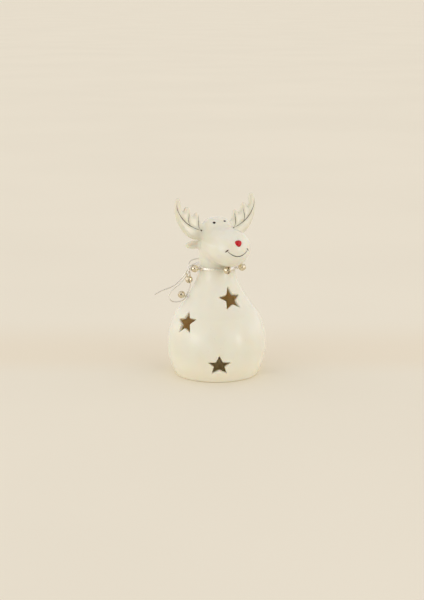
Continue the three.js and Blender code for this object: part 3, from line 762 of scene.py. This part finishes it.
def stroke(line, width, height=0.09, taper=0.25):
    """Points and faces of one raised brush stroke along a line on the skin; its ends taper."""
    line, across, normal = skin_frames(resampled(spline(line), 0.35))
    share = np.linspace(0, 1, len(line))
    fade = np.sqrt(np.clip(np.minimum(share, 1 - share) / taper, 0.04, 1))
    half = width / 2 * fade * (1 + 0.12 * np.sin(share * 23))
    rings = [
        line + across * (half * x)[:, None] + normal * (height * z * np.clip(fade * 1.5, 0, 1))[:, None]
        for x, z in STROKE_SECTION
    ]
    points = np.stack(rings, axis=1).reshape(-1, 3)
    count, faces = len(STROKE_SECTION), []
    for i in range(len(line) - 1):
        for j in range(count):
            k = (j + 1) % count
            faces.append((i * count + j, i * count + k, (i + 1) * count + k, (i + 1) * count + j))
    last = (len(line) - 1) * count
    faces.append(tuple(reversed(range(count))))
    faces.append(tuple(last + j for j in range(count)))
    return points, faces


def dab(centre, reach, height, lobes=0.0, rings=9, around=36):
    """Raised drop of paint or glaze on the skin. reach is its half width and half height."""
    settled, _, normal = skin_frames([np.array(centre) + (shift, 0, 0) for shift in (0, 0.3, 0.6)])
    middle, out = settled[0], normal[0]
    up = unit(UP - out * out[2])
    side = np.cross(up, out)
    spots, lift = [], []
    for i in range(rings + 1):
        share = math.sin(math.pi / 2 * i / rings)
        for j in range(around):
            a = 2 * math.pi * j / around
            r = share * (1 + lobes * math.cos(3 * (a + math.pi / 2)))
            x, y = reach[0] * r * math.cos(a), reach[1] * r * math.sin(a)
            spots.append(middle + side * x + up * y)
            lift.append(height * math.cos(math.pi / 2 * i / rings))
    spots = settle(ceramic_field, np.array(spots), PAINT_STEP, 8)
    outs = unit(gradient(ceramic_field, spots, PAINT_NUDGE))
    top = spots + outs * (np.array(lift) - 0.03)[:, None]
    under = middle - out * 0.5
    points = np.vstack([top[around:], [top[0]], [under]])
    crown, root = rings * around, rings * around + 1
    faces = [(crown, j, (j + 1) % around) for j in range(around)]
    for i in range(rings - 1):
        for j in range(around):
            k = (j + 1) % around
            faces.append((i * around + j, (i + 1) * around + j, (i + 1) * around + k, i * around + k))
    rim = (rings - 1) * around
    faces += [(rim + (j + 1) % around, rim + j, root) for j in range(around)]
    return points, faces


def painted(name, shapes, material):
    """One piece from several strokes or dabs."""
    points, faces = [], []
    for shape_points, shape_faces in shapes:
        start = sum(len(p) for p in points)
        points.append(shape_points)
        faces += [tuple(start + i for i in face) for face in shape_faces]
    return link_object(name, mesh_of(name, np.vstack(points), faces), "reindeer", material)


# Each eye's place, and its half width and half height.
EYES = {"eye_right": ((-5.7, -6.2, 126.7), (1.25, 1.05)), "eye_left": ((3.5, -6.3, 127.3), (1.2, 0.8))}
MOUTH_REACH, MOUTH_LOW, MOUTH_CORNER = 34.5, -16.4, 1.5  # degrees from the muzzle's middle
TICK = ((41, -3), (37.5, 0.3), (34, 3.3), (30.5, 6))  # the mouth's corner stroke: turn, rise
MOUTH_WIDTH, TICK_WIDTH = 0.75, 0.95
NOSE_TURN, NOSE_RISE, NOSE_REACH, NOSE_HEIGHT = 1.3, 25.0, (2.85, 2.7), 1.3
ANTLER_WIDTHS = (0.85, 0.6, 0.65)  # one for each antler stroke


def paint_face():
    for name, (place, reach) in EYES.items():
        painted(name, [dab(place, reach, 0.22, rings=5, around=24)], BLACK_LINE)
    turns = np.linspace(-1, 1, 17)
    smile = [on_muzzle(t * MOUTH_REACH, MOUTH_LOW + (MOUTH_CORNER - MOUTH_LOW) * t * t) for t in turns]
    strokes = [stroke(smile, MOUTH_WIDTH)]
    for side in (-1, 1):
        strokes.append(stroke([on_muzzle(side * turn, rise) for turn, rise in TICK], TICK_WIDTH))
    painted("mouth_line", strokes, BROWN_LINE)
    place = on_muzzle(NOSE_TURN, NOSE_RISE)
    drop = dab(place, NOSE_REACH, NOSE_HEIGHT, lobes=0.08, rings=14, around=60)
    nose = painted("nose_glaze", [drop], RED)
    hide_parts("nose")


def paint_antlers():
    for name, side in (("antler_lines_left", 1), ("antler_lines_right", -1)):
        shapes = []
        for line, width in zip(ANTLER_STROKES, ANTLER_WIDTHS):
            places = np.array([antler_place(across, up, -ANTLER_HALF) for across, up in line])
            shapes.append(stroke(places * (side, 1, 1), width, taper=0.5))
        root = antler_place(15.0, 120.7, -ANTLER_HALF) * (side, 1, 1)
        shapes.append(dab(root, (0.75, 0.75), 0.15, rings=4, around=18))
        painted(name, shapes, GREY_LINE)


paint_face()
paint_antlers()


# ---------------------------------------------------------------- collar
COLLAR_R, COLLAR_Z = 17.2, 90.2
COLLAR_START = ((-101.5, 21), (-97, 18.6))  # bearing, radius, where it leaves the knot
COLLAR_END = ((247, 18.6), (251.5, 21))
STRANDS, STRAND, STRAND_GAP = 3, 0.76, 0.98
STRAND_PITCH, STRAND_START = 80.0, -0.1  # mm in one turn of the row, turns at its start


def ring_point(turn, radius):
    return bearing(turn) * radius + UP * COLLAR_Z


def collar_line():
    """Middle of the collar, once round the neck with both ends turned out to the knot."""
    around = tuple((turn, COLLAR_R) for turn in range(-86, 237, 14))
    points = [ring_point(*place) for place in COLLAR_START + around + COLLAR_END]
    return resampled(spline(points), 0.5)


def make_collar():
    """Strands side by side, in a flat row that turns over slowly on its way round the neck."""
    line = collar_line()
    side = unit(np.cross(unit(np.gradient(line, axis=0)), UP))
    run = np.r_[0, np.cumsum(np.linalg.norm(np.diff(line, axis=0), axis=1))]
    a = 2 * math.pi * (run / STRAND_PITCH + STRAND_START)
    row = UP * np.cos(a)[:, None] + side * np.sin(a)[:, None]
    lines = [line + row * (i - (STRANDS - 1) / 2) * STRAND * STRAND_GAP for i in range(STRANDS)]
    piece = wire_object("collar_strands", lines, STRAND, WIRE)
    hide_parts("collar_wire")


make_collar()


# ---------------------------------------------------------------- knot
KNOT_CENTRE = bow_point(22.8, 4.4, 88.8)
KNOT_WIRE = 0.72


def coil(centre, axis, radius, turns, start, squash):
    """Close turns of the knot's wire about an axis, one wire's thickness apart."""
    axis = unit(axis)
    side = unit(np.cross(axis, UP))
    top = np.cross(side, axis)
    t = np.linspace(0, turns, int(turns * 28))
    a = 2 * math.pi * t + start
    lift = (t - turns / 2) * KNOT_WIRE * 1.04
    return (centre + np.outer(np.cos(a) * radius, side) + np.outer(np.sin(a) * radius * squash, top)
            + np.outer(lift, axis))


def make_knot():
    """Turns of wire about the bow's wires, a band over them, and the wire's short end."""
    out, front = bearing(BOW_BEARING), bearing(BOW_BEARING + 90)
    wraps = coil(KNOT_CENTRE, UP * 0.9 + out * 0.35, radius=1.25, turns=4.5, start=0.6, squash=0.9)
    band_centre, band_axis = KNOT_CENTRE + UP * 0.3 - out * 0.2, front * 0.55 - out * 0.8
    band = coil(band_centre, band_axis, radius=1.3, turns=1.6, start=2.2, squash=1.3)
    stub = spline([KNOT_CENTRE + v for v in (
        front * 1.1 + UP * 0.6, front * 1.9 + UP * 1.3 - out * 0.8, front * 2.2 + UP * 1.6 - out * 2.0,
    )])
    piece = wire_object("knot_wraps", [wraps, band, stub], KNOT_WIRE, WIRE)
    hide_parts("bow_knot")


make_knot()


# ---------------------------------------------------------------- bells
BELL_R, BELL_WALL = 3.1, 0.45
EYELET_R, EYELET_WIRE, EYELET_Z = 1.35, 0.25, 4.5
SEAM_R = 0.13
SLIT_HALF, SLIT_ANGLE, SLIT_END_R = 0.36, math.radians(58), 0.62
PELLET_SEMI = (0.8, 0.78, 0.76)
BELL_STEP, PELLET_STEP = 0.14, 0.09


def bell_field(p):
    """Pressed jingle bell: centre at 0, eyelet up +Z, slit below along Y with round ends."""
    r = np.linalg.norm(p, axis=-1)
    ball = r - BELL_R
    seam = ring_field(p, (0, 0, 0), (0, 0, 1), BELL_R - 0.02, SEAM_R)
    eyelet = ring_field(p, (0, 0, EYELET_Z), (1, 0, 0), EYELET_R, EYELET_WIRE + 0.05)
    shell = smooth_min(smooth_min(ball, seam, 0.25), eyelet, 0.3)
    shell = smooth_max(shell, BELL_R - BELL_WALL - r, 0.1)
    angle = np.arctan2(np.abs(p[..., 1]), -p[..., 2])
    slot = np.maximum(np.abs(p[..., 0]) - SLIT_HALF, (angle - SLIT_ANGLE) * BELL_R)
    slot = np.maximum(slot, 1.0 - r)
    end = np.array([0, math.sin(SLIT_ANGLE), -math.cos(SLIT_ANGLE)])
    q = np.stack([p[..., 0], np.abs(p[..., 1]), p[..., 2]], -1)
    along = q @ end
    hole = np.sqrt(np.maximum((q ** 2).sum(-1) - along ** 2, 0)) - SLIT_END_R
    hole = np.where(along > 0, hole, 9.0)
    return smooth_max(shell, -smooth_min(slot, hole, 0.15), 0.16)


def pellet_field(p):
    return ellipsoid(p, (0, 0, 0), PELLET_SEMI, 2.3)


def bell_places():
    """Each bell's eyelet point, the wire's direction there and the way that it hangs."""
    def on_collar(turn):
        return ring_point(turn, COLLAR_R), bearing(turn + 90), bearing(turn)

    def on_bow(place, next_place, bell_place):
        at = bow_point(*place)
        return at, unit(bow_point(*next_place) - at), unit(bow_point(*bell_place) - at)

    return {
        "front": on_collar(-4.3), "left": on_collar(46), "right": on_collar(-84),
        "bow_top": on_bow((24.5, 5.0, 83.8), (28.1, 5.0, 78.7), (22.6, 6.6, 79.7)),
        "bow_low": on_bow((25.2, 4.9, 65.6), (23.7, 4.2, 69.0), (29.3, 6.8, 67.6)),
    }


def make_bells():
    """Five bells and their pellets, which share one mesh each."""
    shell, _ = field_mesh("bell_shell", bell_field, (-3.6, -3.6, -3.6), (3.6, 3.6, 6.6), BELL_STEP)
    shell.materials.append(BELL)
    pellet, _ = field_mesh("pellet", pellet_field, (-1, -1, -1), (1, 1, 1), PELLET_STEP)
    pellet.materials.append(STEEL)
    for place, (at, along, hang) in bell_places().items():
        up = -hang
        x = unit(along - up * (along @ up))
        turn = Matrix(np.stack([x, np.cross(up, x), up], axis=1).tolist()).to_4x4()
        spot = Matrix.Translation((at + hang * EYELET_Z) * MM) @ turn
        for name, mesh, body, slot, node in (
            (f"bell_shell_{place}", shell, f"bell_{place}", "bell_silver", f"bell_{place}"),
            (f"pellet_ball_{place}", pellet, f"pellet_{place}", "steel", f"bell_pellet_{place}"),
        ):
            piece = bpy.data.objects.new(name, mesh)
            piece.matrix_world = spot
            bpy.context.scene.collection.objects.link(piece)
            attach(piece, body)
            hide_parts(node)


make_bells()

bow_wire("bow_wire_lower", "bow_loop_lower", LOWER_LOOP)
bow_wire("bow_wire_upper", "bow_loop_upper", UPPER_LOOP)
bow_wire("bow_wire_tail", "bow_tail", TAIL)


# ---------------------------------------------------------------- LED module
def soften(node, material, width_mm=0.12):
    """A CAD node of the module: its own shape with rounded edges and a moulded finish."""
    piece = NODES[node]
    piece.data.materials.clear()
    piece.data.materials.append(material)
    for polygon in piece.data.polygons:
        polygon.material_index = 0
    bevel = piece.modifiers.new("rounded edges", "BEVEL")
    bevel.width = width_mm * MM
    bevel.segments = 2
    bevel.limit_method = "ANGLE"
    bevel.angle_limit = math.radians(32)
    bevel.harden_normals = True


MODULE_FINISH = {
    "module_case": CASE, "module_cover": CASE, "battery_door": CASE, "gasket_ring": SILICONE,
    "coin_cell": STEEL, "battery_contact_positive": STEEL, "battery_contact_negative": STEEL,
    "circuit_board": BOARD, "resistor": BLACK_PLASTIC, "led_bulb": EPOXY, "light_dome": FROSTED,
    "slide_switch": BLACK_PLASTIC, "switch_knob": BLACK_PLASTIC,
    "cover_screw_1": STEEL, "cover_screw_2": STEEL, "cover_screw_3": STEEL,
}
for module_node, finish in MODULE_FINISH.items():
    soften(module_node, finish)


# ---------------------------------------------------------------- stage and light
WALL_CREAM = srgb(230, 221, 203)
PAPER, PAPER_MOTTLE, PAPER_FOLD_SHADE = srgb(245, 238, 221), srgb(243, 236, 219), srgb(243, 233, 213)
ROOM_WHITE = (0.985, 0.955, 0.935, 1)
LAMP_WHITE = (1.0, 0.98, 0.96)
FLOOR_R, FLOOR_SIDES = 60.0, 96  # metres
SOFTBOX_TURN, SOFTBOX_ELEVATION, SOFTBOX_DISTANCE, SOFTBOX_AIM = 53.0, 3.0, 1.1, 0.06


def make_floor():
    """Pale paper, with painted shade in a soft band behind the figure, where a paper sweep's curve would
    fall into shade.
    """
    mesh = bpy.data.meshes.new("floor")
    turns = np.linspace(0, 2 * math.pi, FLOOR_SIDES, endpoint=False)
    ring = [(math.cos(a) * FLOOR_R, math.sin(a) * FLOOR_R, 0) for a in turns]
    mesh.from_pydata(ring, [], [tuple(range(FLOOR_SIDES))])
    floor = bpy.data.objects.new("floor", mesh)
    bpy.context.scene.collection.objects.link(floor)
    m = Nodes("paper_sweep", Roughness=1.0, Specular_IOR_Level=0.0)
    shade = m.mix(m.span(m.noise(2.5, 2.0), 0.3, 0.7), PAPER, PAPER_MOTTLE)
    # Painted shade: a soft darker band behind the figure, standing in for the shaded curve of a paper
    # sweep.
    far = m.along(-direction(VIEW_AZIMUTH, 0))
    painted_fold_shade = m.math("MULTIPLY", m.span(far, -0.02, 0.05), m.span(far, 0.07, 0.2, 1.0, 0.0))
    shade = m.mix(painted_fold_shade, shade, PAPER_FOLD_SHADE)
    mesh.materials.append(m.drive(Base_Color=shade))
    return floor


def softbox(name, azimuth, width, height, watts, receivers):
    """A lamp low beside the camera. Its receivers leave out the floor, which would show a hot patch."""
    data = bpy.data.lights.new(name, "AREA")
    data.shape = "RECTANGLE"
    data.size, data.size_y = width, height
    data.energy = watts
    data.color = LAMP_WHITE
    lamp = bpy.data.objects.new(name, data)
    toward = direction(azimuth, SOFTBOX_ELEVATION)
    lamp.location = Vector((0, 0, SOFTBOX_AIM)) + toward * SOFTBOX_DISTANCE
    lamp.rotation_mode = "QUATERNION"
    lamp.rotation_quaternion = toward.to_track_quat("Z", "Y")
    bpy.context.scene.collection.objects.link(lamp)
    lamp.light_linking.receiver_collection = receivers


def all_but(floor):
    """Receivers for a lamp's light: everything except the floor."""
    receivers = bpy.data.collections.new("all but the floor")
    receivers.objects.link(floor)
    receivers.collection_objects[0].light_linking.link_state = "EXCLUDE"
    return receivers


def make_world():
    """Room light: bright at eye level, dimmer overhead and behind, and dark on the camera's side.

    A camera sees it as a plain cream wall.
    """
    world = bpy.data.worlds.new("studio")
    bpy.context.scene.world = world
    world.use_nodes = True
    tree = world.node_tree
    place = tree.nodes.new("ShaderNodeTexCoord").outputs["Generated"]

    def fade(aim, start, stop, high, low):
        """From high to low as the cosine to the aim goes from start to stop."""
        toward = tree.nodes.new("ShaderNodeVectorMath")
        toward.operation = "DOT_PRODUCT"
        toward.inputs[1].default_value = aim
        tree.links.new(place, toward.inputs[0])
        ramp = tree.nodes.new("ShaderNodeMapRange")
        ramp.interpolation_type = "SMOOTHSTEP"
        for socket, value in zip(("From Min", "From Max", "To Min", "To Max"), (start, stop, high, low)):
            ramp.inputs[socket].default_value = value
        tree.links.new(toward.outputs["Value"], ramp.inputs["Value"])
        return ramp.outputs["Result"]

    def product(a, b):
        node = tree.nodes.new("ShaderNodeMath")
        node.operation = "MULTIPLY"
        tree.links.new(a, node.inputs[0])
        tree.links.new(b, node.inputs[1])
        return node.outputs["Value"]

    overhead = fade((0, 0, 1), start=0.1, stop=1.0, high=1.37, low=0.785)
    toward_camera = direction(VIEW_AZIMUTH, VIEW_ELEVATION)
    camera_side = fade(toward_camera, start=0.89, stop=0.97, high=1.0, low=0.03)
    far_side = fade(-direction(VIEW_AZIMUTH, 0), start=0.3, stop=0.85, high=1.0, low=0.7)
    shine = tree.nodes["Background"]
    shine.inputs["Color"].default_value = ROOM_WHITE
    tree.links.new(product(product(overhead, camera_side), far_side), shine.inputs["Strength"])
    wall = tree.nodes.new("ShaderNodeBackground")
    wall.inputs["Color"].default_value = WALL_CREAM
    seen = tree.nodes.new("ShaderNodeMixShader")
    tree.links.new(tree.nodes.new("ShaderNodeLightPath").outputs["Is Camera Ray"], seen.inputs["Fac"])
    tree.links.new(shine.outputs["Background"], seen.inputs[1])
    tree.links.new(wall.outputs["Background"], seen.inputs[2])
    tree.links.new(seen.outputs["Shader"], tree.nodes["World Output"].inputs["Surface"])


def light_stage(floor):
    make_world()
    receivers = all_but(floor)
    left, right = VIEW_AZIMUTH - SOFTBOX_TURN, VIEW_AZIMUTH + SOFTBOX_TURN
    softbox("softbox_left", left, width=0.5, height=0.5, watts=1.8, receivers=receivers)
    softbox("softbox_right", right, width=0.16, height=0.36, watts=1.3, receivers=receivers)
    bpy.context.scene.view_settings.view_transform = "Standard"


light_stage(make_floor())
